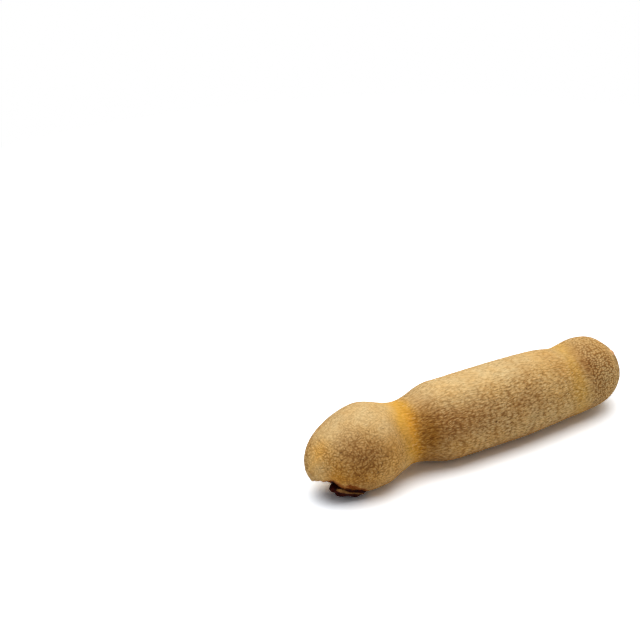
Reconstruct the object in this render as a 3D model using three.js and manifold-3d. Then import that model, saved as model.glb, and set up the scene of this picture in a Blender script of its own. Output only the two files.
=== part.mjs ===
// A sweet tamarind pod, lying on a flat surface. Millimetres, +Z up.
//
// The pod is modelled in its own coordinates: "along" runs from the stem end (0) to the blossom end
// (POD_LENGTH), which is +X, and an angle round the pod is measured from +Y towards +Z. The finished
// group is then shifted so that the middle of its footprint is the origin and its lowest point is z = 0.

import * as THREE from "three";
import { mergeVertices } from "three/addons/utils/BufferGeometryUtils.js";
import Module from "manifold-3d";

const wasm = await Module();
wasm.setup();

const { smoothstep, lerp, degToRad } = THREE.MathUtils;

// ---------------------------------------------------------------- driving dimensions

const POD_LENGTH = 120;
const WIDTH_TO_HEIGHT = 1.08;
const GAP = 0.3; // clearance between solids that touch in the real pod
const REST_FLAT = 0.2; // how deep the underside is flattened where the pod rests

// Half the pod's height where it is fullest and where it is drawn in, from stem to blossom.
const STEM_LOBE = { along: 21.6, half: 13.1 };
const NECK = { along: 35.8, half: 9.8 };
const SHOULDER = { along: 50.6, half: 12.6 };
const BODY = { along: 72, half: 12.65 };
const SECOND_WAIST = { along: 99, half: 11.85 };
const BLOSSOM_LOBE = { along: 112, half: 11.45 };
const PROFILE = [STEM_LOBE, NECK, SHOULDER, BODY, SECOND_WAIST, BLOSSOM_LOBE];

// The crease round the neck isn't square to the pod: on the front it lies nearer the stem.
const NECK_SLANT = { shift: 4.5, along: 31, angle: degToRad(155), halfLength: 8, focus: 4 };

// The two ends are quarter ellipses of these lengths.
const STEM_CAP = 23.9;
const BLOSSOM_CAP = 13.9;

// The spine is almost straight. It bows to the front, sways once to each side, droops at the stem
// end and lifts a little at the blossom end.
const BOW = 0.5;
const SWAY = 0.8;
const DROOP = 1.7;
const LIFT = 0.3;

// Places where one side of the pod is sunk, by a share of its half height, or swollen where the share
// is negative. A larger focus is narrower.
const SUNK = [
  { along: SECOND_WAIST.along, angle: degToRad(68), halfLength: 5.8, share: 0.115, focus: 2 },
  { along: 116.4, angle: degToRad(120), halfLength: 2.8, share: 0.1, focus: 5 },
  { along: 17.5, angle: degToRad(235), halfLength: 3.2, share: -0.035, focus: 10 },
];

// The style left at the blossom end: a small blunt point beside the tip.
const BEAK = { along: 115.0, angle: degToRad(126), radius: 1.5, height: 0.8 };

// Where the stalk tore off, under the stem end, the brittle shell is missing and the pulp shows.
const BREAK = {
  along: 8.3,
  angle: degToRad(242),
  grain: new THREE.Vector3(0.9, -0.2, -0.38), // the long way of the opening
  halfLength: 9.1,
  halfWidth: 5.15,
  offset: 0.3, // of the opening's middle from the frame's origin, the long way
  across: -1.2, // and towards the back
  squareness: 3.2, // 2 is an ellipse
  depth: 4.6,
};

// Where the opening's edge leaves that outline: outwards where corners of shell came off as well,
// and inwards where a tongue of it is left. Bearings are from the long way towards the front.
const BITES = [
  { bearing: degToRad(148), halfWidth: degToRad(7), share: 0.08 },
  { bearing: degToRad(137), halfWidth: degToRad(8), share: 0.21 },
  { bearing: degToRad(127), halfWidth: degToRad(8), share: 0.11 },
  { bearing: degToRad(88), halfWidth: degToRad(20), share: -0.32 },
  { bearing: degToRad(234), halfWidth: degToRad(20), share: 0.5 },
  { bearing: degToRad(264), halfWidth: degToRad(12), share: 0.3 },
];

// The pulp fills the opening but for its stem side, and swells out of it.
const PULP = {
  halfLength: 5.2,
  halfWidth: 4.0,
  halfHeight: 4.6,
  offset: 3.4, // the long way
  across: -0.8, // towards the back
  proud: 1.25,
  squareness: 3.2,
  tilt: degToRad(5), // it lies deeper at its blossom side
  lump: 0.05,
  clear: 0.25, // it is flat this far above the surface that the pod lies on
};

// A nose of pulp sticks out at the stem side.
const PULP_NOSE = {
  direction: new THREE.Vector3(-0.94, 0.18, 0.29).normalize(),
  share: 0.55,
  width: 0.19,
};

// A long splinter of shell stuck on the pulp's front flank, leaning this far from the opening's axis.
// It is narrow but for a broad piece at its stem end.
const SPLINTER = {
  length: 10.2,
  narrow: 0.36,
  broad: 1.25,
  thickness: 0.45,
  offset: 1.6, // from the frame's origin, the long way
  across: 3.1,
  height: 0.4,
  lean: degToRad(50),
  bend: 36,
};

// Fineness of the meshes.
const RINGS = 84;
const SEGMENTS = 30;
const OUTLINE_POINTS = 60;
const ROUND_STEPS = 12;
const WELD = 1e-5;

// ---------------------------------------------------------------- the pod's skin

function endCap(distance, capLength) {
  if (distance >= capLength) return 1;
  return Math.sqrt(Math.max(0, 1 - (1 - distance / capLength) ** 2));
}

function profileHalf(along) {
  let half = along < STEM_LOBE.along ? STEM_LOBE.half : BLOSSOM_LOBE.half;
  for (let i = 1; i < PROFILE.length; i += 1) {
    const [before, after] = [PROFILE[i - 1], PROFILE[i]];
    if (along >= before.along && along <= after.along) {
      half = lerp(before.half, after.half, smoothstep(along, before.along, after.along));
    }
  }
  return half;
}

// How near a point on the skin is to a place on it: 1 there, fading to 0.
function nearness(along, angle, place) {
  const lengthways = Math.exp(-(((along - place.along) / place.halfLength) ** 2));
  const facing = (1 + Math.cos(angle - place.angle)) / 2;
  return lengthways * facing ** place.focus;
}

function halfHeight(along, angle) {
  const slanted = along + NECK_SLANT.shift * nearness(along, angle, NECK_SLANT);
  const capped = endCap(along, STEM_CAP) * endCap(POD_LENGTH - along, BLOSSOM_CAP);
  return profileHalf(slanted) * capped;
}

function spine(along) {
  const turn = (Math.PI * along) / POD_LENGTH;
  const y = SWAY * Math.sin(2 * turn) - BOW * Math.sin(turn);

  // The pod rests on its stem lobe and its body, so the spine runs straight between their heights.
  const rise = (BODY.half - STEM_LOBE.half) / (BODY.along - STEM_LOBE.along);
  const level = STEM_LOBE.half + rise * (along - STEM_LOBE.along);
  const towardsStem = Math.max(0, 1 - along / STEM_LOBE.along);
  const towardsBlossom = Math.max(0, (along - BODY.along) / (POD_LENGTH - BODY.along));
  const z = level - DROOP * towardsStem ** 2 + LIFT * towardsBlossom ** 2;
  return { y, z };
}

function skinPoint(along, angle) {
  let left = 1;
  for (const place of SUNK) left -= place.share * nearness(along, angle, place);
  const reach = halfHeight(along, angle) * left;
  const { y, z } = spine(along);
  return new THREE.Vector3(
    along,
    y + WIDTH_TO_HEIGHT * reach * Math.cos(angle),
    Math.max(z + reach * Math.sin(angle), REST_FLAT),
  );
}

function skinNormal(along, angle) {
  const step = 0.01;
  const lengthways = skinPoint(along + step, angle).sub(skinPoint(along - step, angle));
  const around = skinPoint(along, angle + step).sub(skinPoint(along, angle - step));
  return around.cross(lengthways).normalize();
}

// ---------------------------------------------------------------- closed meshes and solids

function solid(geometry) {
  const bare = geometry.clone();
  bare.deleteAttribute("normal");
  bare.deleteAttribute("uv");
  const welded = mergeVertices(bare, WELD);
  const corners = [];
  for (let i = 0; i < welded.index.count; i += 3) {
    const [a, b, c] = [0, 1, 2].map((k) => welded.index.getX(i + k));
    if (a !== b && b !== c && c !== a) corners.push(a, b, c);
  }
  const mesh = new wasm.Mesh({
    numProp: 3,
    vertProperties: new Float32Array(welded.attributes.position.array),
    triVerts: new Uint32Array(corners),
  });
  return new wasm.Manifold(mesh);
}

function geometryOf(manifold) {
  const { vertProperties, triVerts } = manifold.getMesh();
  const geometry = new THREE.BufferGeometry();
  geometry.setAttribute("position", new THREE.BufferAttribute(vertProperties, 3));
  geometry.setIndex(new THREE.BufferAttribute(triVerts, 1));
  geometry.computeVertexNormals();
  return geometry;
}

function moveVertices(geometry, place) {
  const position = geometry.attributes.position;
  const point = new THREE.Vector3();
  for (let i = 0; i < position.count; i += 1) {
    point.fromBufferAttribute(position, i);
    place(point);
    position.setXYZ(i, point.x, point.y, point.z);
  }
  return geometry;
}

// A frame on the skin: its Z is the outward normal and its X is the given direction laid in the skin.
function skinFrame(along, angle, direction) {
  const out = skinNormal(along, angle);
  const long = direction.clone().addScaledVector(out, -direction.dot(out)).normalize();
  const across = out.clone().cross(long);
  return new THREE.Matrix4().makeBasis(long, across, out).setPosition(skinPoint(along, angle));
}

// ---------------------------------------------------------------- pieces

function wholePod() {
  const profile = [];
  for (let i = 0; i <= RINGS; i += 1) {
    const along = POD_LENGTH * (0.5 - 0.5 * Math.cos((Math.PI * i) / RINGS));
    const onAxis = i === 0 || i === RINGS;
    profile.push(new THREE.Vector2(onAxis ? 0 : STEM_LOBE.half, along));
  }
  const lathe = new THREE.LatheGeometry(profile, SEGMENTS);
  moveVertices(lathe, (point) => {
    const angle = Math.atan2(point.x, point.z);
    point.copy(skinPoint(point.y, angle));
  });
  return solid(lathe);
}

function beak() {
  const cap = new THREE.SphereGeometry(1, 2 * ROUND_STEPS, ROUND_STEPS);
  cap.rotateX(Math.PI / 2);
  cap.scale(BEAK.radius, BEAK.radius, BEAK.height);
  const upright = new THREE.Vector3(0, 0, 1);
  cap.applyMatrix4(skinFrame(BEAK.along, BEAK.angle, upright));
  return solid(cap);
}

// Where a ray at this bearing leaves a squarish oval.
function ovalRadius(bearing, halfLength, halfWidth, squareness) {
  const x = Math.abs(Math.cos(bearing)) / halfLength;
  const y = Math.abs(Math.sin(bearing)) / halfWidth;
  return (x ** squareness + y ** squareness) ** (-1 / squareness);
}

function tornOutline(inset) {
  const points = [];
  for (let i = 0; i < OUTLINE_POINTS; i += 1) {
    const turn = (2 * Math.PI * i) / OUTLINE_POINTS;
    let share = 1 + 0.02 * Math.sin(9 * turn) + 0.015 * Math.sin(14 * turn + 2);
    for (const bite of BITES) {
      share += bite.share * Math.exp(-(((turn - bite.bearing) / bite.halfWidth) ** 2));
    }
    const oval = ovalRadius(turn, BREAK.halfLength, BREAK.halfWidth, BREAK.squareness);
    const radius = oval * share - inset;
    points.push(new THREE.Vector2(radius * Math.cos(turn), radius * Math.sin(turn)));
  }
  return new THREE.Shape(points);
}

// A straight-walled plug in the break's own frame, from its floor up to well outside the skin.
function tornPlug(inset) {
  const outside = 6;
  const plug = new THREE.ExtrudeGeometry(tornOutline(inset), {
    depth: BREAK.depth - inset + outside,
    bevelEnabled: false,
  });
  plug.translate(BREAK.offset, BREAK.across, inset - BREAK.depth);
  plug.applyMatrix4(breakFrame);
  return solid(plug);
}

function pulpLump() {
  const lump = new THREE.SphereGeometry(1, 4 * ROUND_STEPS, 3 * ROUND_STEPS);
  lump.rotateX(Math.PI / 2);
  moveVertices(lump, (point) => {
    const { x, y, z } = point;
    const broad = Math.sin(5 * x + 1) * Math.sin(6 * y);
    const fine = 0.6 * Math.sin(9 * x - 4 * y) * Math.cos(7 * z);
    const n = PULP.squareness;
    const square = (Math.abs(x) ** n + Math.abs(y) ** n + Math.abs(z) ** n) ** (-1 / n);
    const towardsNose = point.dot(PULP_NOSE.direction) - 1;
    const nose = PULP_NOSE.share * Math.exp(towardsNose / PULP_NOSE.width ** 2);
    point.multiplyScalar(square * (1 + PULP.lump * (broad + fine) + nose));
  });
  lump.scale(PULP.halfLength, PULP.halfWidth, PULP.halfHeight);
  lump.rotateY(PULP.tilt);
  lump.translate(PULP.offset, PULP.across, PULP.proud - PULP.halfHeight);
  lump.applyMatrix4(breakFrame);
  moveVertices(lump, (point) => {
    point.z = Math.max(point.z, REST_FLAT + PULP.clear);
  });
  return solid(lump);
}

// The splinter is bent over the pulp. Its edge away from the skin is straight. It is also made a little
// larger all round, as the bed that it leaves in the pulp.
function splinter(grow) {
  const points = [];
  for (let i = 0; i < OUTLINE_POINTS; i += 1) {
    const turn = (2 * Math.PI * i) / OUTLINE_POINTS;
    const towardsStem = (1 - Math.cos(turn)) / 2;
    const half = lerp(SPLINTER.narrow, SPLINTER.broad, smoothstep(towardsStem, 0.7, 0.86)) / 2;
    const ragged = 1 + 0.12 * Math.sin(5 * turn + 0.4);
    const side = Math.sign(Math.sin(turn)) * Math.abs(Math.sin(turn)) ** 0.6;
    const x = (SPLINTER.length / 2 + grow) * Math.cos(turn);
    const y = (half * ragged + grow) * side + half - SPLINTER.narrow / 2;
    points.push(new THREE.Vector2(x, y));
  }
  const chip = new THREE.ExtrudeGeometry(new THREE.Shape(points), {
    depth: SPLINTER.thickness + 2 * grow,
    bevelEnabled: false,
  });
  chip.translate(0, 0, -grow - SPLINTER.thickness / 2);
  moveVertices(chip, (point) => {
    point.z -= point.x ** 2 / (2 * SPLINTER.bend);
  });
  chip.rotateX(-SPLINTER.lean);
  chip.translate(SPLINTER.offset, SPLINTER.across, SPLINTER.height);
  chip.applyMatrix4(breakFrame);
  return solid(chip);
}

// ---------------------------------------------------------------- the pod

const breakFrame = skinFrame(BREAK.along, BREAK.angle, BREAK.grain);

const pod = wholePod().add(beak()).subtract(tornPlug(0));
const pulp = pulpLump().intersect(tornPlug(GAP)).subtract(splinter(GAP));
const chip = splinter(0);

function matt(color, roughness) {
  return new THREE.MeshStandardMaterial({ color, roughness, metalness: 0 });
}
const shellMaterial = matt(0xa88150, 0.8);
const pulpMaterial = matt(0x2d0a08, 0.45);
const splinterMaterial = matt(0x9c6f40, 0.85);

const tamarindPod = new THREE.Group();
const PIECES = [
  ["pod", pod, shellMaterial],
  ["exposed_pulp", pulp, pulpMaterial],
  ["shell_splinter", chip, splinterMaterial],
];
for (const [name, manifold, material] of PIECES) {
  const mesh = new THREE.Mesh(geometryOf(manifold), material);
  mesh.name = name;
  tamarindPod.add(mesh);
}

const extent = new THREE.Box3().setFromObject(tamarindPod, true);
const middle = extent.getCenter(new THREE.Vector3());
tamarindPod.position.set(-middle.x, -middle.y, -extent.min.z);
tamarindPod.updateMatrixWorld(true);

export default tamarindPod;
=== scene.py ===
"""A sweet tamarind pod lying on a white surface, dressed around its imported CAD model.

Lengths are millimetres in the pod's own coordinates, as in the CAD source: "along" runs from the stem end
to the blossom end (+X), and an angle round the pod is measured from +Y towards +Z. Meshes are turned to
metres and moved to the CAD node's place when they are made. The view, floor and lamp are in metres.
"""

import math

import bpy
import numpy as np
from mathutils import Matrix, Vector


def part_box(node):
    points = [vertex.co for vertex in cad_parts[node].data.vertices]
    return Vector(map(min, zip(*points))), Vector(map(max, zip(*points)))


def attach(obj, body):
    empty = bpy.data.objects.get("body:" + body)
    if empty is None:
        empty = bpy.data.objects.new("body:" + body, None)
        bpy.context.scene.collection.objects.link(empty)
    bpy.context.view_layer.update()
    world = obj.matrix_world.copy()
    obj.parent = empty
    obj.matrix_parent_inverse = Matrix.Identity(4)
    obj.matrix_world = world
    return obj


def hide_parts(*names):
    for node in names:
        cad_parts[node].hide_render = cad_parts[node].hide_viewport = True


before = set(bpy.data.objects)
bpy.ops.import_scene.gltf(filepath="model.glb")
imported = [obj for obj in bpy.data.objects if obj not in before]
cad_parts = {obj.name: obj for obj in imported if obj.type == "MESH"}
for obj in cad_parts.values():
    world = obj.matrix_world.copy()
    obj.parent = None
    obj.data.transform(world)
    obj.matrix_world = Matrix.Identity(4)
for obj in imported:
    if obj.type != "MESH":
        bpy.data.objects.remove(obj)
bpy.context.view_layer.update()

MM = 0.001

# ------------------------------------------------------------------ the pod's dimensions

POD_LENGTH = 120.0
WIDTH_TO_HEIGHT = 1.08
REST_FLAT = 0.2   # how deep the underside is flattened where the pod rests
STEM_LOBE = (21.6, 13.1)   # along, half height
NECK = (35.8, 9.8)
SHOULDER = (50.6, 12.6)
BODY = (72.0, 12.65)
SECOND_WAIST = (99.0, 11.85)
BLOSSOM_LOBE = (112.0, 11.45)
PROFILE = (STEM_LOBE, NECK, SHOULDER, BODY, SECOND_WAIST, BLOSSOM_LOBE)
STEM_CAP = 23.9   # the lengths of the rounded ends
BLOSSOM_CAP = 13.9
BOW = 0.5   # the spine's sideways bend, and its S on top of that
SWAY = 0.8
DROOP = 1.7   # how far the spine falls at the stem tip and rises at the blossom tip
LIFT = 0.3

FRONT = math.radians(155)   # the side on which both creases lean towards the stem

# places on the skin: along, angle, half length, focus (a larger one is narrower round the pod)
NECK_SLANT = (31.0, FRONT, 8.0, 4)
NECK_SHIFT = 4.5   # how much nearer the stem the neck is there
SUNK = (   # and the share of the half height that is lost there
    ((SECOND_WAIST[0], math.radians(68), 5.8, 2), 0.115),
    ((116.4, math.radians(120), 2.8, 5), 0.1),
    ((17.5, math.radians(235), 3.2, 10), -0.035),
)
FOLD = (   # a rim and then a crease beside the neck, and their heights
    ((30.4, math.radians(168), 1.5, 3), 0.28),
    ((33.6, math.radians(168), 1.3, 3), -0.18),
)

# the bands of colour in the creases: how far past the profile's waist they lie, how far they lean,
# and how wide they are on the stem side and on the blossom side
NECK_BAND = (0.2, 2.7, 3.7, 2.7)
SECOND_BAND = (1.2, 4.7, 3.6, 3.6)

BEAK_ALONG = 115.0
BEAK_ANGLE = math.radians(126)
BEAK_RADIUS = 1.5
BEAK_HEIGHT = 0.8

GRAIN_HEIGHT = 0.08
GRAIN_MIDDLE = 0.6   # the part of a grain's height that is level with the smooth skin
LONG_GRAIN = (1.75, 0.92, 0.92)
ROUND_GRAIN = (1.0, 0.86, 0.86)
SWELL_HEIGHT = 0.2
SWELL_SIZE = (14, 9, 9)
GRAIN_DRIFT = 0.9   # how far broad and fine noise push the grains about
GRAIN_TWIST = 0.28

# the drawn grains' sizes: on the unrolled skin (the third value is unused there) and on the solid
UNROLLED_RADIUS = 13.2   # the pod's girth is unrolled as if it were this round everywhere
LONG_CELL = (1.9, 0.72, 1)
DOT_CELL = (1.0, 0.82, 1)
FINE_CELL = (0.8, 0.66, 0.66)
WORM_SIZE = (1.0, 0.4, 0.4)
WORM_SHARE = 0.4

RINGS, SPOKES = 320, 300
NORMAL_STEP = 0.01
POLE_ZONE = 0.05   # this close to a tip, the skin faces straight along the pod

# ------------------------------------------------------------------ the torn opening

BREAK_ALONG = 8.3
BREAK_ANGLE = math.radians(242)
BREAK_GRAIN = (0.9, -0.2, -0.38)   # roughly the opening's long way
BREAK_HALF_LENGTH = 9.1
BREAK_HALF_WIDTH = 5.15
BREAK_SQUARENESS = 3.2
BREAK_OFFSET = 0.3   # the outline's middle, in the break's frame
BREAK_ACROSS = -1.2
BREAK_DEPTH = 4.6
BREAK_REACH = 6.0   # skin further behind the break's plane than this is on the pod's other side
RIM_PASSES = 3
PUCKER_FADE = 2.2   # the shell puckers round the opening: how soon that fades, its folds and their height
PUCKER_FOLDS = 17
PUCKER_HEIGHT = 0.2
FLAKE_DEPTH = 0.1   # where the outer skin has come off, and as much again further in
FLAKE_LIP = 0.12   # the lifted skin round that

# notches and tongues of the torn outline: bearing and half width in degrees, share of its radius
BITES = (
    (137, 8, 0.21),
    (127, 8, 0.11),
    (148, 7, 0.08),
    (88, 20, -0.32),
    (234, 20, 0.5),
    (264, 12, 0.3),
)
# where the outer skin has also come off, in the same terms
FLAKED = (
    (84, 20, 0.75),
    (102, 26, 0.3),
    (48, 14, 0.2),
)

SKIN, EDGE, HOLLOW = range(3)   # the pod's material slots

# rows from the torn edge into the hollow: depth, depth where the lip curls, shift outwards, material
EDGE_ROWS = (
    (0.1, -0.2, -0.3, EDGE),
    (0.4, -0.25, -0.7, EDGE),
    (0.75, 0.2, -0.8, EDGE),
    (1.0, 1.0, -0.1, EDGE),
    (1.15, 1.15, 0.75, HOLLOW),
    (2.2, 2.2, 1.0, HOLLOW),
)
HOLLOW_SHARES = (0.25, 0.5, 0.75)   # the rows below those, as shares of the way to the bottom

PULP_HALF = (5.2, 4.0, 4.6)
PULP_SQUARENESS = 3.2
PULP_OFFSET = 3.4   # its place in the break's frame, and how far it stands out
PULP_ACROSS = -0.8
PULP_PROUD = 1.25
PULP_NOSE = (-0.94, 0.18, 0.29)   # the direction of the lump towards the stem tip
PULP_NOSE_SHARE = 0.55
PULP_NOSE_WIDTH = 0.19
PULP_TILT = math.radians(5)
PULP_CLEAR = 0.45   # the pulp is pressed flat this far above the pod's lowest level
PULP_RINGS, PULP_SPOKES = 71, 120

SPLINTER_LENGTH = 10.2
SPLINTER_NARROW = 0.36   # its width, and its width at the stem end
SPLINTER_BROAD = 1.25
SPLINTER_THICKNESS = 0.45
SPLINTER_PLACE = (1.6, 3.1, 0.4)
SPLINTER_LEAN = math.radians(50)
SPLINTER_BEND = 36.0   # the radius that it bends to, over the pulp
SPLINTER_STEM_PART = (0.7, 0.86)   # it broadens between these shares of its length, from the narrow end
SPLINTER_INNER_RINGS = (0.66, 0.5)   # each is this share of the one outside it, on both flat sides
SPLINTER_LAYERS, SPLINTER_SPOKES = 6, 96

# ------------------------------------------------------------------ colours

# soft patches of colour on the skin: along, angle in degrees, half length, focus, weight
PATCHES = {
    "pale": (
        # these two make the upward-facing skin paler: partly paler skin, partly painted light where the top
        # faces the lamp
        (60, 92, 60, 10, 1.0),        # along the top
        (14, 105, 12, 5, 0.6),
        # partly the paler band of the neck, partly a painted highlight on the rim of the fold beside it
        (30, 160, 4.0, 1.5, 1.3),     # the neck
        (26, 134, 6.0, 5, 0.9),
        # these two make the low front paler: painted bounce light from the floor
        (58, 187, 24, 14, 0.55),      # under the flank
        (20, 186, 5.0, 10, 0.7),
        (88, 130, 5, 3, 0.4),         # before the second waist
        (0.5, 132, 1.6, 5, 0.9),      # the stem end
    ),
    "gold": (
        (30, 100, 5.0, 3, 0.4),       # the neck
        (29.5, 165, 3.5, 4, 0.5),
        (2.5, 107, 3.5, 6, 0.5),      # the stem end
        (88, 130, 6, 3, 0.3),         # before the second waist
    ),
    "amber": (
        (21, 175, 6.0, 8, 0.75),      # the stem lobe
        (10, 180, 6.0, 9, 0.9),
        (2.5, 116, 3.0, 9, 0.45),
        (4, 188, 3.0, 8, 0.5),
        (33.5, 160, 3.0, 9, 0.9),     # the neck
        (34.2, 156, 2.0, 6, 0.6),
        (37, 202, 4.0, 15, 0.5),
        (50, 198, 16, 25, 0.35),      # low on the body
        (60, 262, 40, 8, 0.3),
        (91, 116, 3.5, 12, 0.35),     # before the second waist
        (111, 115, 3.5, 3, 0.4),      # the blossom lobe
    ),
    "brown": (
        # partly brown scurf, partly painted shade where the front of the flank turns away from the lamp
        (54, 158, 28, 13, 0.9),       # the flank of the body
        (43, 115, 4.0, 6, 0.3),
        (41, 104, 4.0, 12, 0.3),
        (78, 125, 5.0, 10, 0.3),
        (89, 114, 4.0, 8, 0.35),
        (94, 116, 4.0, 20, 0.25),
        # these two darken the underside next to the floor: painted shade of the pod's contact shadow
        (60, 226, 60, 30, 0.7),       # low on the front
        (37, 216, 5.0, 20, 0.2),
        (100.5, 116, 2.6, 8, 0.5),    # the blossom lobe
        (104, 150, 4.4, 2.5, 0.55),
        (106, 108, 6.0, 16, 0.2),
        (110.3, 139, 2.0, 25, 0.55),  # beside the beak
        # these three darken the front of the stem lobe: partly brown skin, partly painted shade of the lobe's
        # side away from the light
        (10, 146, 5.0, 6, 0.75),      # the stem lobe
        (17, 160, 4.0, 25, 0.6),
        (11, 170, 5.0, 10, 0.3),
        (70, 330, 36, 4, 0.6),        # the back
        (16, 20, 9.0, 8, 0.5),
    ),
    "rust": (
        # these two darken the skin beside the neck: partly rusty-brown skin, partly painted shade in the
        # neck's crease
        (38.5, 166, 3.5, 3.4, 0.88),  # beside the neck
        (34.8, 152, 1.6, 6, 0.25),
        (40, 201, 8.0, 20, 0.25),
        (40, 10, 5.0, 6, 0.6),
        (11, 186, 5.0, 12, 0.2),      # above the opening
    ),
}

# display values from 0 to 255
SKIN_COLORS = ((252, 217, 153), (247, 202, 129))
PALE_COLOR = (255, 228, 178)
TINTS = {   # laid over the skin in this order, each by the mask of its name
    "straw": (252, 204, 112),
    "gold": (252, 192, 82),
    "amber": (252, 178, 56),
    "brown": (200, 150, 90),
    "rust": (180, 125, 52),
}
# crown colours: partly paler scurf, partly a painted highlight in place of a gloss
CROWN_TONES_AND_HIGHLIGHTS = ((255, 232, 178), (236, 196, 136))   # a grain's crown on pale and on brown skin
RUST_CROWN_TONE_AND_HIGHLIGHT = (206, 156, 92)
SPECK_COLOR = (84, 46, 18)
BEAK_COLOR = (255, 192, 134)
SHELL_COLORS = ((160, 92, 44), (196, 128, 66))   # the inside of the shell, by the skin
# deeper in: partly the shell's red-brown inner layer, partly painted shade
DEEP_SHELL_AND_SHADE_COLORS = ((104, 48, 10), (150, 84, 28))
SPLINTER_COLORS = ((118, 76, 38), (164, 118, 68))
PULP_COLORS = ((30, 4, 2), (64, 14, 6))

# multipliers of the colour beneath
STAIN = (0.74, 0.65, 0.54, 1)
# this one darkens the grooves: partly darker scurf, partly painted shade in the recesses
GROOVE_SCURF_AND_SHADE = (0.36, 0.23, 0.1, 1)

SKIN_ROUGHNESS = (0.85, 0.6)   # in the grooves and on the crests
SKIN_BUMP, SHELL_BUMP, PULP_BUMP = 0.3, 0.1, 0.15
SKIN_SPECULAR, SHELL_SPECULAR, PULP_SPECULAR = 0.04, 0.03, 0.04
SHELL_ROUGHNESS = 0.8
PULP_ROUGHNESS = (0.45, 0.7)

# ------------------------------------------------------------------ the view, floor and light

CAMERA_AZIMUTH = math.radians(-35.1)
CAMERA_ELEVATION = math.radians(27)
CAMERA_DISTANCE = 0.758
CAMERA_LENS = 135   # millimetres, as is the sensor's width
CAMERA_SENSOR = 36
CAMERA_CLIP = (0.01, 20)
AIM_RIGHT, AIM_UP = -0.0459, 0.0398   # where the view's middle is, seen from the pod's origin

FLOOR_HALF = 6.0
FLOOR_COLOR = (0.82, 0.86, 0.91, 1)
FLOOR_SEEN = (1.72, 1.79, 1.86, 1)   # to the camera, where it reaches white
FLOOR_FADE = (0.14, 0.3)   # how far from the pod's middle the floor turns to plain white
WORLD_LIGHT = 0.2
LAMP_POWER = 14.2
LAMP_SIZE = 1.5
LAMP_PLACE = (0.0, 0.1, 1.0)


# ------------------------------------------------------------------ noise

def hashed(ix, iy, iz, seed):
    """A random number from 0 to 1 for each lattice point."""
    mixed = (ix * 374761393 + iy * 668265263 + iz * 2147483647 + seed * 1274126177) & 0xFFFFFFFF
    mixed = ((mixed ^ (mixed >> 13)) * 1103515245) & 0xFFFFFFFF
    mixed = ((mixed ^ (mixed >> 16)) * 2654435761) & 0xFFFFFFFF
    return ((mixed ^ (mixed >> 15)) & 0xFFFFFF) / float(0xFFFFFF)


def noise(points, size, seed):
    """Smooth noise from -1 to 1, whose features are about size wide."""
    scaled = points / np.asarray(size, float)
    base = np.floor(scaled).astype(np.int64)
    t = scaled - base
    t = t * t * t * (t * (t * 6 - 15) + 10)
    total = 0.0
    for dx in (0, 1):
        for dy in (0, 1):
            for dz in (0, 1):
                corner = hashed(base[:, 0] + dx, base[:, 1] + dy, base[:, 2] + dz, seed)
                wx = t[:, 0] if dx else 1 - t[:, 0]
                wy = t[:, 1] if dy else 1 - t[:, 1]
                wz = t[:, 2] if dz else 1 - t[:, 2]
                total = total + corner * wx * wy * wz
    return 2 * total - 1


def noises(points, size, seeds):
    """A column of noise for each seed."""
    return np.stack([noise(points, size, seed) for seed in seeds], axis=1)


def fractal(points, size, seed):
    """Noise with two finer and fainter copies of itself added."""
    size = np.asarray(size, float)
    return sum(noise(points, size / 2 ** k, seed + k) / 2 ** k for k in range(3)) / 1.6


def pebbles(points, size, seed):
    """Grains packed side by side: 1 on each crown, 0 in the grooves."""
    scaled = points / np.asarray(size, float)
    base = np.floor(scaled).astype(np.int64)
    first = np.full(len(scaled), 9.0)   # the distances to the two nearest grains, at first far
    second = first.copy()
    for dx in (-1, 0, 1):
        for dy in (-1, 0, 1):
            for dz in (-1, 0, 1):
                cell = base + (dx, dy, dz)
                spot = np.stack([hashed(*cell.T, seed + k) for k in range(3)], axis=1)
                distance = np.linalg.norm(cell + spot - scaled, axis=1)
                nearer = distance < first
                second = np.where(nearer, first, np.minimum(second, distance))
                first = np.where(nearer, distance, first)
    return 1 - (first / second) ** 2


# ------------------------------------------------------------------ curves

def smoothstep(x, low, high):
    """0 below low, 1 above high, and a smooth rise between them."""
    t = np.clip((x - low) / (high - low), 0, 1)
    return t * t * (3 - 2 * t)


def bell(x, middle, width):
    """1 at the middle, fading to 0 beyond the width."""
    return np.exp(-((x - middle) / width) ** 2)


def facing(angle, middle):
    """1 on one side of the pod, fading to 0 on the opposite side."""
    return (1 + np.cos(angle - middle)) / 2


def turns(count):
    """Equal steps round a circle."""
    return np.arange(count) * 2 * np.pi / count


# ------------------------------------------------------------------ the pod's smooth skin

def end_cap(distance, length):
    """The share of the full height at a distance from a rounded end."""
    return np.sqrt(np.clip(1 - (1 - np.minimum(distance / length, 1)) ** 2, 0, 1))


def nearness(along, angle, place):
    """1 at a place on the skin, fading to 0 round it."""
    place_along, place_angle, half_length, focus = place
    return bell(along, place_along, half_length) * facing(angle, place_angle) ** focus


def half_height(along, angle):
    """Half the pod's height, before parts of it are sunk."""
    slanted = along + NECK_SHIFT * nearness(along, angle, NECK_SLANT)
    half = np.where(slanted < STEM_LOBE[0], STEM_LOBE[1], BLOSSOM_LOBE[1])
    for (start, first), (end, last) in zip(PROFILE, PROFILE[1:]):
        between = first + (last - first) * smoothstep(slanted, start, end)
        half = np.where((slanted >= start) & (slanted <= end), between, half)
    return half * end_cap(along, STEM_CAP) * end_cap(POD_LENGTH - along, BLOSSOM_CAP)


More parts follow.
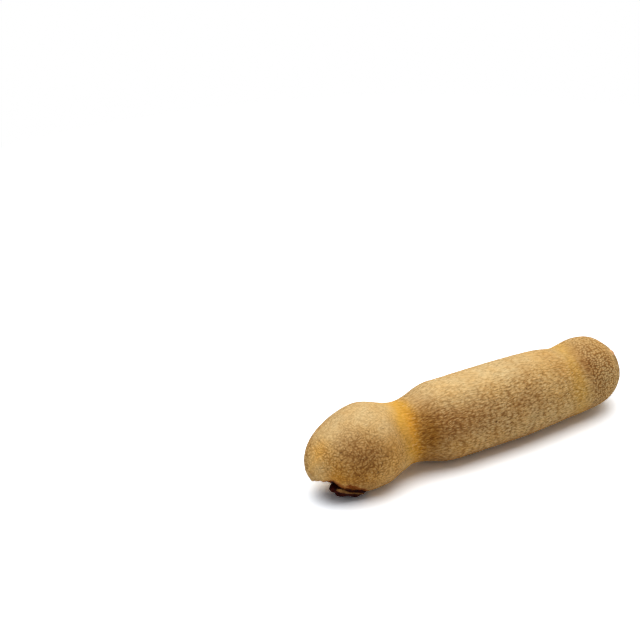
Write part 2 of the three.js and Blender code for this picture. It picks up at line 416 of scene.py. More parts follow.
def spine(along):
    """The middle line's sideways place and height."""
    turn = np.pi * along / POD_LENGTH
    y = SWAY * np.sin(2 * turn) - BOW * np.sin(turn)
    rise = (BODY[1] - STEM_LOBE[1]) / (BODY[0] - STEM_LOBE[0])
    level = STEM_LOBE[1] + rise * (along - STEM_LOBE[0])
    to_stem = np.maximum(0, 1 - along / STEM_LOBE[0])
    to_blossom = np.maximum(0, (along - BODY[0]) / (POD_LENGTH - BODY[0]))
    return y, level - DROOP * to_stem ** 2 + LIFT * to_blossom ** 2


def skin(along, angle):
    """Points on the smooth skin, one row for each along and angle."""
    left = 1 - sum(share * nearness(along, angle, place) for place, share in SUNK)
    reach = half_height(along, angle) * left
    y, z = spine(along)
    height = np.maximum(z + reach * np.sin(angle), REST_FLAT)
    return np.stack([along, y + WIDTH_TO_HEIGHT * reach * np.cos(angle), height], axis=-1)


def skin_normal(along, angle):
    step = NORMAL_STEP
    lengthways = skin(along + step, angle) - skin(along - step, angle)
    around = skin(along, angle + step) - skin(along, angle - step)
    out = np.cross(around, lengthways)
    return out / np.linalg.norm(out, axis=-1, keepdims=True)


def skin_point(along, angle):
    return skin(np.array([along]), np.array([angle]))[0]


def along_and_angle(points):
    """Where points on the smooth skin lie."""
    y, z = spine(points[:, 0])
    return points[:, 0], np.arctan2(points[:, 2] - z, (points[:, 1] - y) / WIDTH_TO_HEIGHT)


# ------------------------------------------------------------------ the break's frame

def unit(v):
    return np.asarray(v, float) / np.linalg.norm(v)


def break_axes():
    """Rows that point the break's long way, across it and outwards."""
    out = skin_normal(np.array([BREAK_ALONG]), np.array([BREAK_ANGLE]))[0]
    lengthways = unit(np.array(BREAK_GRAIN) - np.dot(BREAK_GRAIN, out) * out)
    return np.stack([lengthways, np.cross(out, lengthways), out])


BREAK_AXES = break_axes()
BREAK_ORIGIN = skin_point(BREAK_ALONG, BREAK_ANGLE)
BREAK_MIDDLE = np.array([BREAK_OFFSET, BREAK_ACROSS])
HOLLOW_BOTTOM = np.array([BREAK_OFFSET, BREAK_ACROSS, -BREAK_DEPTH])


def to_break(points):
    return (points - BREAK_ORIGIN) @ BREAK_AXES.T


def from_break(local):
    return local @ BREAK_AXES + BREAK_ORIGIN


def near_side(local):
    return local[:, 2] > -BREAK_REACH


def torn_ratio(local):
    """Below 1 inside the torn outline, 1 on it."""
    x, y = local[:, 0] - BREAK_OFFSET, local[:, 1] - BREAK_ACROSS
    bearing = np.arctan2(y, x) % (2 * np.pi)
    power = BREAK_SQUARENESS
    lengthways = (np.abs(np.cos(bearing)) / BREAK_HALF_LENGTH) ** power
    across = (np.abs(np.sin(bearing)) / BREAK_HALF_WIDTH) ** power
    oval = (lengthways + across) ** (-1 / power)
    share = 1 + 0.02 * np.sin(9 * bearing) + 0.015 * np.sin(14 * bearing + 2)
    for middle, half_width, bite in BITES:
        share = share + bite * bell(bearing, math.radians(middle), math.radians(half_width))
    circle = np.stack([np.cos(bearing), np.sin(bearing), np.zeros(len(x))], axis=1)
    return np.hypot(x, y) / (oval * (share + 0.035 * fractal(circle, 0.22, 5)))


# ------------------------------------------------------------------ relief and colour masks

def patch(name, along, angle):
    """The summed weights of a colour's patches."""
    return sum(weight * nearness(along, angle, (middle, math.radians(turn), half_length, focus))
               for middle, turn, half_length, focus, weight in PATCHES[name])


def crease(along, angle, waist, band):
    """1 along the middle of a crease's band of colour, fading to 0 beside it."""
    offset, lean, stem_width, blossom_width = band
    middle = waist[0] + offset - lean * facing(angle, FRONT) ** 3
    return bell(along, middle, np.where(along < middle, stem_width, blossom_width))


def tint_masks(points, along, angle):
    """How strongly each tint shows."""
    neck = crease(along, angle, NECK, NECK_BAND)
    uneven = noise(points, (9.0, 5.0, 5.0), 71)

    def mottled(name, share, band=0):
        return np.clip(band + patch(name, along, angle) * (1 + share * uneven), 0, 1)

    return {
        "brown": mottled("brown", 0.35) * (1 - 0.7 * neck),
        "rust": mottled("rust", 0.3),
        "gold": mottled("gold", 0.4, 0.9 * neck),
        "amber": mottled("amber", 0.4),
        "pale": mottled("pale", 0),
        "straw": np.clip(crease(along, angle, SECOND_WAIST, SECOND_BAND) * (1 + 0.4 * uneven), 0, 1),
    }


def grain_contrast(points, along, angle, tints):
    """How clear the grain is: fainter along the top and in the creases."""
    # the grain is fainter on the pale upward-facing skin, where the pale mask is partly painted light
    pale_top = tints["pale"] * smoothstep(np.sin(angle), 0.1, 0.7)
    contrast = 0.9 + 0.12 * tints["brown"] - 0.1 * tints["rust"] - 0.45 * pale_top + 0.12 * noise(points, 7.0, 61)
    before_neck = crease(along + 2.5, angle, NECK, NECK_BAND)   # it stays clear on the body's side
    second = crease(along, angle, SECOND_WAIST, SECOND_BAND)
    return np.clip(contrast, 0, 1) * (1 - np.clip(0.4 * before_neck + 0.35 * second, 0, 0.6))


def grain_relief(points, along, drift):
    """Grains that run along the body and are round on both lobes."""
    wavy = points + GRAIN_DRIFT * drift + GRAIN_TWIST * noises(points, 1.7, (14, 15, 16))
    wavy[:, 1:] += 0.18 * np.sin(wavy[:, :1] * 0.9)
    lobes = np.clip(1 - smoothstep(along, 22, 32) + smoothstep(along, 98, 106), 0, 1)
    long_grain = pebbles(wavy, LONG_GRAIN, 21)
    round_grain = pebbles(wavy, ROUND_GRAIN, 31)
    return long_grain + (round_grain - long_grain) * lobes


def break_relief(points, torn, height, drift):
    """The shell puckers towards the torn opening, and beside it the outer skin has flaked off.

    Returns the new height, and masks of the pucker, of the flaked skin and of its inner part.
    """
    local = to_break(points)
    bearing = np.arctan2(local[:, 1] - BREAK_ACROSS, local[:, 0] - BREAK_OFFSET)
    pucker = np.exp(-np.clip(torn - 1, 0, None) * PUCKER_FADE) * near_side(local)
    folds = np.sin(PUCKER_FOLDS * bearing + 2.2 * drift[:, 0])
    height = height * (1 - 0.5 * pucker) + pucker * PUCKER_HEIGHT * folds

    ragged = 1 + 0.3 * noise(points, 1.3, 93) + 0.25 * noise(points, 0.6, 94)
    beyond = sum(share * bell(np.degrees(bearing), middle, half_width)
                 for middle, half_width, share in FLAKED)
    inner = np.where(near_side(local), 1 + beyond * ragged - torn, -1)
    flaked = smoothstep(inner, 0, 0.05)
    fibre = noise(local, (1.2, 0.35, 0.8), 95)
    depth = FLAKE_DEPTH + FLAKE_DEPTH * smoothstep(inner, 0.05, 0.3) - 0.08 * fibre
    height = height * (1 - 0.7 * flaked) - flaked * depth
    height = height + FLAKE_LIP * bell(inner, -0.03, 0.03) * smoothstep(beyond, 0.05, 0.15)
    return height, pucker, flaked, smoothstep(inner, 0.02, 0.25)


def unrolled_masks(along, angle):
    """Where the grain is drawn on the unrolled skin: not on the ends, nor at the seam under the pod."""
    round_pod = (angle - math.radians(270)) % (2 * np.pi)
    half = half_height(along, angle)
    clear = smoothstep(np.minimum(round_pod, 2 * np.pi - round_pod), 0.1, 0.3)
    unrolled = clear * smoothstep(half, 6.5, 9.0)
    dots = clear * smoothstep(along, 99, 103) * smoothstep(half, 9.2, 10.8)
    cap = smoothstep(along, 106, 110) * (1 - dots)
    stem = 1 - smoothstep(along, 26, 33)
    return {
        "arc": UNROLLED_RADIUS * round_pod,
        "long": unrolled * (1 - 0.75 * stem) * (1 - cap),
        "dots": dots,
    }


def skin_relief(points, along, angle, torn):
    """How far the real skin stands off the smooth one, and the masks that colour it."""
    drift = noises(points, 4.0, (11, 12, 13))
    masks = tint_masks(points, along, angle)
    contrast = grain_contrast(points, along, angle, masks)
    height = GRAIN_HEIGHT * contrast * (grain_relief(points, along, drift) - GRAIN_MIDDLE)
    height = height + SWELL_HEIGHT * fractal(points, SWELL_SIZE, 51)
    height = height + sum(rise * nearness(along, angle, place) for place, rise in FOLD)
    height, pucker, flaked, inner = break_relief(points, torn, height, drift)

    away = np.linalg.norm(points - skin_point(BEAK_ALONG, BEAK_ANGLE), axis=1)
    beak = np.clip(1 - (away / BEAK_RADIUS) ** 2, 0, 1)
    height = height + BEAK_HEIGHT * beak ** 0.7

    masks.update(unrolled_masks(along, angle))
    masks["contrast"] = contrast * (1 - 0.6 * pucker) * (1 - flaked)
    masks.update(flaked=flaked, inner=inner, beak=beak)
    return height, masks


# ------------------------------------------------------------------ meshes

def pod_shift():
    """From the pod's own coordinates to the frame's, so that the smooth skin fills the CAD node's box."""
    low, high = (np.array(corner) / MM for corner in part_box("pod"))
    along, angle = np.meshgrid(np.linspace(0, POD_LENGTH, 400), np.linspace(0, 2 * np.pi, 200))
    smooth = skin(along.ravel(), angle.ravel())
    middle_y = (smooth[:, 1].min() + smooth[:, 1].max()) / 2
    return np.array([low[0], (low[1] + high[1]) / 2 - middle_y, low[2] - smooth[:, 2].min()])


SHIFT = pod_shift()


def add_object(name, data):
    made = bpy.data.objects.new(name, data)
    bpy.context.scene.collection.objects.link(made)
    return made


def make_mesh(name, points, faces, materials, face_material=None, masks=None):
    """A smooth-shaded object from millimetre points in the pod's coordinates."""
    mesh = bpy.data.meshes.new(name)
    mesh.from_pydata(((points + SHIFT) * MM).tolist(), [], faces)
    for material in materials:
        mesh.materials.append(material)
    if face_material is not None:
        mesh.polygons.foreach_set("material_index", np.asarray(face_material, np.int32))
    mesh.polygons.foreach_set("use_smooth", np.ones(len(faces), bool))
    for key, values in (masks or {}).items():
        layer = mesh.attributes.new(key, "FLOAT", "POINT")
        layer.data.foreach_set("value", np.asarray(values, np.float32))
    mesh.update()
    piece = add_object(name, mesh)
    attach(piece, "root")
    return piece


def closed_faces(rings, spokes, flipped=False):
    """Faces over rings of points, closed by two poles that come after the rings."""
    first_pole, last_pole = rings * spokes, rings * spokes + 1
    last = (rings - 1) * spokes
    faces = []
    for j in range(spokes):
        k = (j + 1) % spokes
        faces.append((first_pole, j, k))
        faces.append((last_pole, last + k, last + j))
        for i in range(0, last, spokes):
            faces.append((i + j, i + spokes + j, i + spokes + k, i + k))
    return [(face[0],) + face[:0:-1] for face in faces] if flipped else faces


def turned(points, first, second, angle):
    """The points turned in the plane of two of their axes."""
    a, b = points[:, first], points[:, second]
    result = points.copy()
    result[:, first] = a * math.cos(angle) + b * math.sin(angle)
    result[:, second] = b * math.cos(angle) - a * math.sin(angle)
    return result


# ------------------------------------------------------------------ the pod

def ring_positions():
    """Ring places with equal steps along the profile's curve."""
    along = POD_LENGTH * (0.5 - 0.5 * np.cos(np.linspace(0, np.pi, 4000)))
    run = np.hypot(np.diff(along), np.diff(half_height(along, 0.0)))
    length = np.concatenate([[0], np.cumsum(run)])
    return np.interp(np.linspace(0, length[-1], RINGS + 1), length, along)[1:-1]


def whole_skin():
    """The closed smooth skin, before the opening is cut: points and faces."""
    along = ring_positions()
    ring, spoke = np.meshgrid(along, turns(SPOKES), indexing="ij")
    poles = skin(np.array([0.0, POD_LENGTH]), np.zeros(2))
    points = np.concatenate([skin(ring.ravel(), spoke.ravel()), poles])
    return points, closed_faces(len(along), SPOKES)


def cut_opening(points, faces):
    """Move the rim's points onto the torn outline. Returns the faces left and each point's torn ratio."""
    local = to_break(points)
    torn = torn_ratio(local)
    inside = (torn < 1) & near_side(local)
    kept = [face for face in faces if not all(inside[v] for v in face)]
    rim = np.array(sorted({v for face in kept for v in face if inside[v]}))
    for _ in range(RIM_PASSES):
        moved = to_break(points[rim])
        ratio = torn_ratio(moved)
        moved[:, :2] = BREAK_MIDDLE + (moved[:, :2] - BREAK_MIDDLE) / ratio[:, None]
        points[rim] = skin(*along_and_angle(from_break(moved)))
    torn[rim] = 1.0
    return kept, torn


def raised(points, torn):
    """The points with the skin's relief, the directions that they rose in, and the colour masks."""
    along, angle = along_and_angle(points)
    angle[-2:] = 0   # the poles
    height, masks = skin_relief(points, along, angle, torn)
    near_pole = (along < POLE_ZONE) | (along > POD_LENGTH - POLE_ZONE)
    margin = 2 * NORMAL_STEP
    out = skin_normal(np.clip(along, margin, POD_LENGTH - margin), angle)
    out[near_pole] = np.where(along[near_pole, None] < 1, (-1.0, 0, 0), (1.0, 0, 0))
    points = points + out * height[:, None]
    points[:, 2] = np.maximum(points[:, 2], REST_FLAT)
    return points, out, masks


def boundary_loop(faces):
    """The vertices of the one open edge, in order."""
    follows = {}
    edges = {(face[i], face[(i + 1) % len(face)]) for face in faces for i in range(len(face))}
    for a, b in edges:
        if (b, a) not in edges:
            follows[b] = a
    start = next(iter(follows))
    loop = [start]
    while follows[loop[-1]] != start:
        loop.append(follows[loop[-1]])
    return loop


def hollow_rows(edge, inward, rag):
    """The shell's broken edge and the hollow behind it: rows in the break's frame, and their materials.

    Rag makes the rows uneven.
    """
    outwards = edge[:, :2] - BREAK_MIDDLE
    outwards /= np.linalg.norm(outwards, axis=1, keepdims=True)
    front = smoothstep(outwards[:, 1], -0.2, 0.5)   # the lip curls out on this side
    rows = []
    for depth, curled, widen, material in EDGE_ROWS:
        row = edge + inward * (depth + (curled - depth) * front)[:, None]
        row[:, :2] += outwards * (widen + 0.14 * rag)[:, None]
        rows.append((row, material))
    deepest = rows[-1][0]
    for share in HOLLOW_SHARES:
        row = deepest * (1 - share) + HOLLOW_BOTTOM * share
        row[:, 2] = deepest[:, 2] * (1 - share) ** 2 + HOLLOW_BOTTOM[2] * (1 - (1 - share) ** 2)
        rows.append((row, HOLLOW))
    return rows


def used_only(points, faces, masks):
    """Leave out the points that no face uses. Points past the masks' end have masks of 0."""
    used = np.unique(np.concatenate([np.array(face) for face in faces]))
    renumber = np.full(len(points), -1)
    renumber[used] = np.arange(len(used))
    faces = [tuple(int(renumber[v]) for v in face) for face in faces]
    masks = {key: np.concatenate([values, np.zeros(len(points) - len(values))])[used]
             for key, values in masks.items()}
    return points[used], faces, masks


def add_hollow(points, out, faces):
    """Add faces from the torn edge to the hollow's bottom. Returns all points and the faces' materials."""
    previous = boundary_loop(faces)
    size = len(previous)
    edge = points[previous]
    rows = hollow_rows(to_break(edge), -(out[previous] @ BREAK_AXES.T), noise(edge, 1.1, 91))
    parts = [points]
    start = len(points)
    face_material = [SKIN] * len(faces)
    for row, material in rows:
        parts.append(from_break(row))
        current = range(start, start + size)
        for i in range(size):
            j = (i + 1) % size
            faces.append((previous[i], previous[j], current[j], current[i]))
            face_material.append(material)
        previous = current
        start += size
    parts.append(from_break(HOLLOW_BOTTOM[None]))
    for i in range(size):
        faces.append((previous[i], previous[(i + 1) % size], start))
        face_material.append(HOLLOW)
    return np.concatenate(parts), face_material


def build_pod():
    """The skin with its relief, and the hollow behind its torn opening."""
    points, faces = whole_skin()
    faces, torn = cut_opening(points, faces)
    points, out, masks = raised(points, torn)
    points, face_material = add_hollow(points, out, faces)
    points, faces, masks = used_only(points, faces, masks)
    materials = [skin_material(), edge_material(), pulp_material("pulp_film")]
    pod = make_mesh("tamarind_pod", points, faces, materials, face_material, masks)
    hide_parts("pod")


# ------------------------------------------------------------------ pulp and splinter

def build_pulp():
    """A lumpy squarish ball in the opening, with a nose towards the stem tip."""
    rings = np.linspace(0, np.pi, PULP_RINGS + 2)[1:-1]
    polar, turn = np.meshgrid(rings, turns(PULP_SPOKES), indexing="ij")
    ball = np.stack([np.sin(polar) * np.cos(turn), np.sin(polar) * np.sin(turn), np.cos(polar)], axis=-1)
    ball = np.concatenate([ball.reshape(-1, 3), [[0, 0, 1.0], [0, 0, -1.0]]])
    x, y, z = ball.T
    square = (np.abs(ball) ** PULP_SQUARENESS).sum(axis=1) ** (-1 / PULP_SQUARENESS)
    lumps = 0.05 * (np.sin(5 * x + 1) * np.sin(6 * y) + 0.6 * np.sin(9 * x - 4 * y) * np.cos(7 * z))
    nose = PULP_NOSE_SHARE * np.exp((ball @ unit(PULP_NOSE) - 1) / PULP_NOSE_WIDTH ** 2)
    local = ball * (square * (1 + lumps + nose))[:, None] * PULP_HALF
    local = local * (1 + 0.045 * fractal(local, 2.2, 101)[:, None] + 0.02 * fractal(local, 0.8, 111)[:, None])
    local = turned(local, 0, 2, PULP_TILT) + (PULP_OFFSET, PULP_ACROSS, PULP_PROUD - PULP_HALF[2])
    points = from_break(local)
    points[:, 2] = np.maximum(points[:, 2], PULP_CLEAR)
    piece = make_mesh("pulp", points, closed_faces(PULP_RINGS, PULP_SPOKES), [pulp_material("pulp")])
    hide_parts("exposed_pulp")


def build_splinter():
    """A narrow chip of shell, broad at its stem end, bent over the pulp."""
    turn = turns(SPLINTER_SPOKES)
    broad = smoothstep((1 - np.cos(turn)) / 2, *SPLINTER_STEM_PART)
    half = (SPLINTER_NARROW + (SPLINTER_BROAD - SPLINTER_NARROW) * broad) / 2
    ragged = 1 + 0.12 * np.sin(5 * turn + 0.4) + 0.1 * np.sin(13 * turn + 1)
    side = np.sign(np.sin(turn)) * np.abs(np.sin(turn)) ** 0.6
    rows = []
    for k in range(SPLINTER_LAYERS):
        level = k / (SPLINTER_LAYERS - 1) - 0.5
        swell = 1 - 0.16 * (2 * level) ** 2
        x = SPLINTER_LENGTH / 2 * swell * np.cos(turn) + 0.1 * np.sin(17 * turn)
        y = half * ragged * swell * side + half - SPLINTER_NARROW / 2
        rows.append(np.stack([x, y, np.full(SPLINTER_SPOKES, level * SPLINTER_THICKNESS)], axis=-1))
    for share in SPLINTER_INNER_RINGS:
        rows.insert(0, rows[0] * (share, share, 1))
        rows.append(rows[-1] * (share, share, 1))
    poles = [[0, 0, -SPLINTER_THICKNESS / 2], [0, 0, SPLINTER_THICKNESS / 2]]
    local = np.concatenate(rows + [poles])
    local[:, 2] += 0.1 * noise(local, (1.6, 0.5, 9.0), 121)
    local[:, 2] -= local[:, 0] ** 2 / (2 * SPLINTER_BEND)
    local = turned(local, 1, 2, SPLINTER_LEAN) + SPLINTER_PLACE
    faces = closed_faces(len(rows), SPLINTER_SPOKES, flipped=True)
    piece = make_mesh("splinter", from_break(local), faces, [splinter_material()])
    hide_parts("shell_splinter")


# ------------------------------------------------------------------ materials

def srgb(r, g, b):
    """A linear colour from 0 to 255 display values."""
    shares = (value / 255 for value in (r, g, b))
    return tuple(((s + 0.055) / 1.055) ** 2.4 if s > 0.04 else s / 12.92 for s in shares) + (1.0,)


class Nodes:
    """A short way to write the node tree of a material or a world."""

    def __init__(self, owner):
        owner.use_nodes = True
        self.owner = owner
        self.tree = owner.node_tree
        self.tree.nodes.clear()

    def node(self, kind, **settings):
        made = self.tree.nodes.new(kind)
        for key, value in settings.items():
            setattr(made, key, value)
        return made

    def feed(self, socket, value):
        """A constant is set on the socket itself, and anything else is linked to it."""
        if isinstance(value, (int, float, tuple)):
            socket.default_value = value
        else:
            self.tree.links.new(value, socket)

    def feed_all(self, sockets, values):
        for socket, value in zip(sockets, values):
            self.feed(socket, value)

    def mask(self, name):
        return self.node("ShaderNodeAttribute", attribute_name=name).outputs["Fac"]

    def math(self, operation, a, b):
        made = self.node("ShaderNodeMath", operation=operation)
        self.feed_all(made.inputs, (a, b))
        return made.outputs[0]

    def ramp(self, source, low, high, to_low=0.0, to_high=1.0):
        made = self.node("ShaderNodeMapRange", clamp=True)
        self.feed_all(made.inputs, (source, low, high, to_low, to_high))
        return made.outputs[0]

    def mix(self, share, a, b, blend="MIX"):
        """A colour between two others."""
        made = self.node("ShaderNodeMix", data_type="RGBA", blend_type=blend)
        self.feed_all((made.inputs[0], made.inputs[6], made.inputs[7]), (share, a, b))
        return made.outputs[2]

    def either(self, share, colors):
        """A colour between two display colours."""
        return self.mix(share, srgb(*colors[0]), srgb(*colors[1]))

    def blend(self, share, a, b):
        """A number between two others."""
        made = self.node("ShaderNodeMix", data_type="FLOAT")
        self.feed_all((made.inputs[0], made.inputs[2], made.inputs[3]), (share, a, b))
        return made.outputs[0]

    def grey(self, value):
        made = self.node("ShaderNodeCombineColor")
        self.feed_all(made.inputs, (value, value, value))
        return made.outputs[0]

    def place(self, stretch=(1, 1, 1)):
        """Object coordinates in millimetres, multiplied by stretch."""
        made = self.node("ShaderNodeMapping")
        made.inputs["Scale"].default_value = tuple(s / MM for s in stretch)
        self.feed(made.inputs["Vector"], self.node("ShaderNodeTexCoord").outputs["Object"])
        return made.outputs[0]

    def divided(self, place, size):
        made = self.node("ShaderNodeVectorMath", operation="DIVIDE")
        self.feed_all(made.inputs, (place, size))
        return made.outputs[0]

    def wave(self, place, size=1.0, detail=0.0, roughness=0.5):
        """Noise at a place: its value and its colour."""
        made = self.node("ShaderNodeTexNoise")
        made.inputs["Scale"].default_value = 1 / size
        made.inputs["Detail"].default_value = detail
        made.inputs["Roughness"].default_value = roughness
        self.feed(made.inputs["Vector"], place)
        return made.outputs[0], made.outputs["Color"]

    def noise(self, size, detail=2.0, roughness=0.5, stretch=(1, 1, 1)):
        return self.wave(self.place(stretch), size, detail, roughness)[0]

    def mottle(self, *noise_settings):
        """Noise in patches of 0 and 1 with soft edges."""
        return self.ramp(self.noise(*noise_settings), 0.35, 0.65)

    def warped(self, start, waves):
        """Coordinates pushed about by noise of each size and reach."""
        moved = start
        for size, reach in waves:
            push = self.node("ShaderNodeVectorMath", operation="MULTIPLY_ADD")
            self.feed_all(push.inputs, (self.wave(start, size)[1], (2 * reach,) * 3, moved))
            moved = push.outputs[0]
        return moved

    def unrolled(self):
        """Millimetres along the pod and round it."""
        made = self.node("ShaderNodeCombineXYZ")
        apart = self.node("ShaderNodeSeparateXYZ")
        self.feed(apart.inputs[0], self.place())
        self.feed_all(made.inputs, (apart.outputs["X"], self.mask("arc")))
        return made.outputs[0]

    def grains(self, place, size, flat=False):
        """Grains side by side: 1 on each crest, 0 in the grooves, and each grain's own number."""
        dimensions = "2D" if flat else "3D"
        cells = self.node("ShaderNodeTexVoronoi", feature="SMOOTH_F1", voronoi_dimensions=dimensions)
        cells.inputs["Scale"].default_value = 1.0
        cells.inputs["Smoothness"].default_value = 0.2
        cells.inputs["Randomness"].default_value = 0.75
        self.feed(cells.inputs["Vector"], self.divided(place, size))
        crest = self.ramp(cells.outputs["Distance"], 0.05, 0.66 if flat else 0.72, 1.0, 0.0)
        own = self.node("ShaderNodeSeparateColor")
        self.feed(own.inputs[0], cells.outputs["Color"])
        return crest, own.outputs[0]

    def worms(self, place, size):
        """Short wavy ridges that run together: 1 on their crests, 0 between them."""
        return self.ramp(self.wave(self.divided(place, size))[0], 0.3, 0.7)

    def bump(self, height, distance):
        made = self.node("ShaderNodeBump")
        made.inputs["Strength"].default_value = 1.0
        made.inputs["Distance"].default_value = distance * MM
        self.feed(made.inputs["Height"], height)
        return made.outputs[0]

    def seen(self):
        """1 for rays that come from the camera, also by way of a mirror or through glass."""
        rays = self.node("ShaderNodeLightPath").outputs
        seen = self.math("MAXIMUM", rays["Is Camera Ray"], rays["Is Glossy Ray"])
        return self.math("MAXIMUM", seen, rays["Is Transmission Ray"])

    def mix_shaders(self, share, a, b):
        made = self.node("ShaderNodeMixShader")
        self.feed_all(made.inputs, (share, a, b))
        return made.outputs[0]

    def output(self, kind, shader):
        self.feed(self.node(kind).inputs[0], shader)
        return self.owner

    def surface(self, color, roughness, normal, specular):
        shader = self.node("ShaderNodeBsdfPrincipled")
        self.feed(shader.inputs["Base Color"], color)
        self.feed(shader.inputs["Roughness"], roughness)
        self.feed(shader.inputs["Specular IOR Level"], specular)
        self.feed(shader.inputs["Normal"], normal)
        return self.output("ShaderNodeOutputMaterial", shader.outputs[0])


def new_material(name):
    return Nodes(bpy.data.materials.new(name))


def skin_grain(nodes):
    """Long grains on the body, dots on the blossom lobe and fine ones elsewhere: crests and own numbers."""
    unrolled = nodes.warped(nodes.unrolled(), ((4.0, 0.8), (1.4, 0.16)))
    solid = nodes.warped(nodes.place(), ((3.4, 1.0), (1.3, 0.2)))
    long_crest, long_own = nodes.grains(unrolled, LONG_CELL, flat=True)
    dots, dots_own = nodes.grains(unrolled, DOT_CELL, flat=True)
    fine, fine_own = nodes.grains(solid, FINE_CELL)
    long_crest = nodes.blend(WORM_SHARE, long_crest, nodes.worms(solid, WORM_SIZE))
    crest = nodes.blend(nodes.mask("dots"), nodes.blend(nodes.mask("long"), fine, long_crest), dots)
    own = nodes.blend(nodes.mask("dots"), nodes.blend(nodes.mask("long"), fine_own, long_own), dots_own)
    ragged = nodes.math("MULTIPLY", nodes.math("SUBTRACT", nodes.noise(0.35, 2.0, 0.6), 0.5), 0.3)
    return nodes.math("ADD", crest, ragged), own


def skin_color(nodes, crest, own):
    """The mottled and tinted skin, stained, dark in its grooves and light on its crowns, with specks. The
    grooves' dark is partly painted shade, the crowns' light partly a painted highlight.
    """
    color = nodes.either(nodes.ramp(nodes.noise(7.0, 3.0), 0.4, 0.62), SKIN_COLORS)
    # the pale mask lifts the skin towards the pale colour here and thins the stain below: paler skin, and in
    # places painted light
    color = nodes.mix(nodes.ramp(nodes.mask("pale"), 0, 1, 0, 0.25), color, srgb(*PALE_COLOR))
    for name, tint in TINTS.items():
        color = nodes.mix(nodes.mask(name), color, srgb(*tint))

    broad_stain = nodes.ramp(nodes.noise(3.4, 2.0, 0.6), 0.62, 0.38)
    small_stain = nodes.ramp(nodes.noise(1.5, 1.0), 0.74, 0.5, 0, 0.8)
    stain = nodes.math("MAXIMUM", broad_stain, small_stain)
    stain = nodes.math("MULTIPLY", stain, nodes.ramp(nodes.mask("pale"), 0, 1, 0.9, 0.3))
    color = nodes.mix(stain, color, nodes.mix(1.0, color, STAIN, "MULTIPLY"))
    color = nodes.mix(1.0, color, nodes.grey(nodes.ramp(own, 0, 1, 0.87, 1.0)), "MULTIPLY")

    # the grooves are darkened: partly darker scurf, partly painted shade in the recesses
    groove = nodes.math("MULTIPLY", nodes.ramp(crest, 0.5, 0.15, 0, 0.75), nodes.mask("contrast"))
    color = nodes.mix(groove, color, nodes.mix(1.0, color, GROOVE_SCURF_AND_SHADE, "MULTIPLY"))
    # the crests take a paler crown colour: partly paler scurf, partly a painted highlight
    crest_tone_and_highlight = nodes.math("MULTIPLY", nodes.ramp(crest, 0.6, 0.9, 0, 0.55), nodes.mask("contrast"))
    crown = nodes.either(nodes.mask("brown"), CROWN_TONES_AND_HIGHLIGHTS)
    color = nodes.mix(crest_tone_and_highlight, color, nodes.mix(nodes.mask("rust"), crown, srgb(*RUST_CROWN_TONE_AND_HIGHLIGHT)))
    specks = nodes.math("MULTIPLY", nodes.ramp(nodes.noise(0.9, 1.0), 0.68, 0.74), nodes.mask("contrast"))
    return nodes.mix(nodes.math("MULTIPLY", specks, 0.7), color, srgb(*SPECK_COLOR))


def skin_material():
    nodes = new_material("pod_skin")
    crest, own = skin_grain(nodes)
    color = skin_color(nodes, crest, own)
    color = nodes.mix(nodes.ramp(nodes.mask("beak"), 0, 0.5, 0, 0.85), color, srgb(*BEAK_COLOR))
    color = nodes.mix(nodes.mask("flaked"), color, torn_color(nodes, nodes.mask("inner")))
    height = nodes.math("MULTIPLY", crest, nodes.ramp(nodes.mask("contrast"), 0, 1, 0.3, 1.0))
    roughness = nodes.ramp(crest, 0, 1, *SKIN_ROUGHNESS)
    return nodes.surface(color, roughness, nodes.bump(height, SKIN_BUMP), SKIN_SPECULAR)


def torn_color(nodes, depth):
    """The fibrous inside of the shell: tan at the skin, red-brown deeper in; the darker red-brown is partly
    the shell's inner layer, partly painted shade in the recess.
    """
    fibres = nodes.mottle(0.5, 2.0)
    return nodes.mix(depth, nodes.either(fibres, SHELL_COLORS), nodes.either(fibres, DEEP_SHELL_AND_SHADE_COLORS))


def broken_shell(nodes, color, grit):
    """A dull surface with grit of a size."""
    rough = nodes.bump(nodes.noise(grit, 3.0), SHELL_BUMP)
    return nodes.surface(color, SHELL_ROUGHNESS, rough, SHELL_SPECULAR)


def edge_material():
    nodes = new_material("torn_edge")
    # the edge rows that face into the hollow take mostly the deeper colour, which is partly painted shade
    return broken_shell(nodes, torn_color(nodes, 0.85), 0.25)


def splinter_material():
    nodes = new_material("splinter_shell")
    return broken_shell(nodes, nodes.either(nodes.mottle(0.4, 2.0, 0.6, (0.3, 1, 1)), SPLINTER_COLORS), 0.3)


def pulp_material(name):
    nodes = new_material(name)
    color = nodes.either(nodes.mottle(1.2, 3.0), PULP_COLORS)
    roughness = nodes.ramp(nodes.noise(0.9, 2.0), 0.3, 0.7, *PULP_ROUGHNESS)
    return nodes.surface(color, roughness, nodes.bump(nodes.noise(0.4, 3.0), PULP_BUMP), PULP_SPECULAR)


# ------------------------------------------------------------------ floor, light and camera

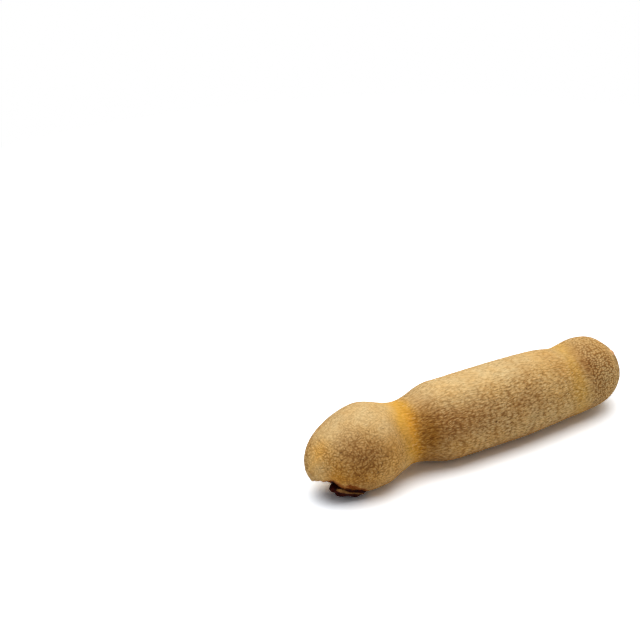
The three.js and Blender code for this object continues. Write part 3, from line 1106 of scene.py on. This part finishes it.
def floor_material():
    """White to the camera, in full far from the pod, and a plain pale grey to all other light."""
    nodes = new_material("floor_white")
    seen = nodes.seen()
    pale = nodes.node("ShaderNodeBsdfDiffuse")
    nodes.feed(pale.inputs["Color"], nodes.mix(seen, FLOOR_COLOR, FLOOR_SEEN))
    away = nodes.node("ShaderNodeVectorMath", operation="LENGTH")
    nodes.feed(away.inputs[0], nodes.node("ShaderNodeTexCoord").outputs["Object"])
    far = nodes.math("MULTIPLY", seen, nodes.ramp(away.outputs["Value"], *FLOOR_FADE))
    white = nodes.node("ShaderNodeEmission")
    shader = nodes.mix_shaders(far, pale.outputs[0], white.outputs[0])
    return nodes.output("ShaderNodeOutputMaterial", shader)


def build_floor():
    mesh = bpy.data.meshes.new("floor")
    corners = [(x * FLOOR_HALF, y * FLOOR_HALF, 0) for x, y in ((-1, -1), (1, -1), (1, 1), (-1, 1))]
    mesh.from_pydata(corners, [], [(0, 1, 2, 3)])
    mesh.materials.append(floor_material())
    floor = add_object("floor", mesh)


def build_world():
    """Dim and even light, in front of white for the camera."""
    world = bpy.data.worlds.new("studio")
    bpy.context.scene.world = world
    nodes = Nodes(world)
    shades = []
    for strength in (WORLD_LIGHT, 1.0):
        shade = nodes.node("ShaderNodeBackground")
        shade.inputs["Color"].default_value = (1, 1, 1, 1)
        shade.inputs["Strength"].default_value = strength
        shades.append(shade.outputs[0])
    nodes.output("ShaderNodeOutputWorld", nodes.mix_shaders(nodes.seen(), *shades))


def build_lamp():
    lamp = bpy.data.lights.new("soft_box", "AREA")
    lamp.shape = "SQUARE"
    lamp.size = LAMP_SIZE
    lamp.energy = LAMP_POWER
    holder = add_object("soft_box", lamp)
    holder.location = LAMP_PLACE
    holder.rotation_euler = Vector(LAMP_PLACE).to_track_quat("Z", "Y").to_euler()


def build_camera():
    data = bpy.data.cameras.new("camera")
    data.lens, data.sensor_width = CAMERA_LENS, CAMERA_SENSOR
    data.clip_start, data.clip_end = CAMERA_CLIP
    camera = add_object("camera", data)
    cos, sin = math.cos(CAMERA_AZIMUTH), math.sin(CAMERA_AZIMUTH)
    level = math.cos(CAMERA_ELEVATION)
    right = Vector((cos, sin, 0))
    back = Vector((sin * level, -cos * level, math.sin(CAMERA_ELEVATION)))
    up = back.cross(right)
    camera.matrix_world = Matrix((right, up, back)).transposed().to_4x4()
    camera.location = back * CAMERA_DISTANCE + right * AIM_RIGHT + up * AIM_UP
    bpy.context.scene.camera = camera


# ------------------------------------------------------------------ the scene

build_camera()
build_world()
build_lamp()
build_floor()
build_pod()
build_pulp()
build_splinter()

bpy.context.scene.view_settings.view_transform = "Standard"
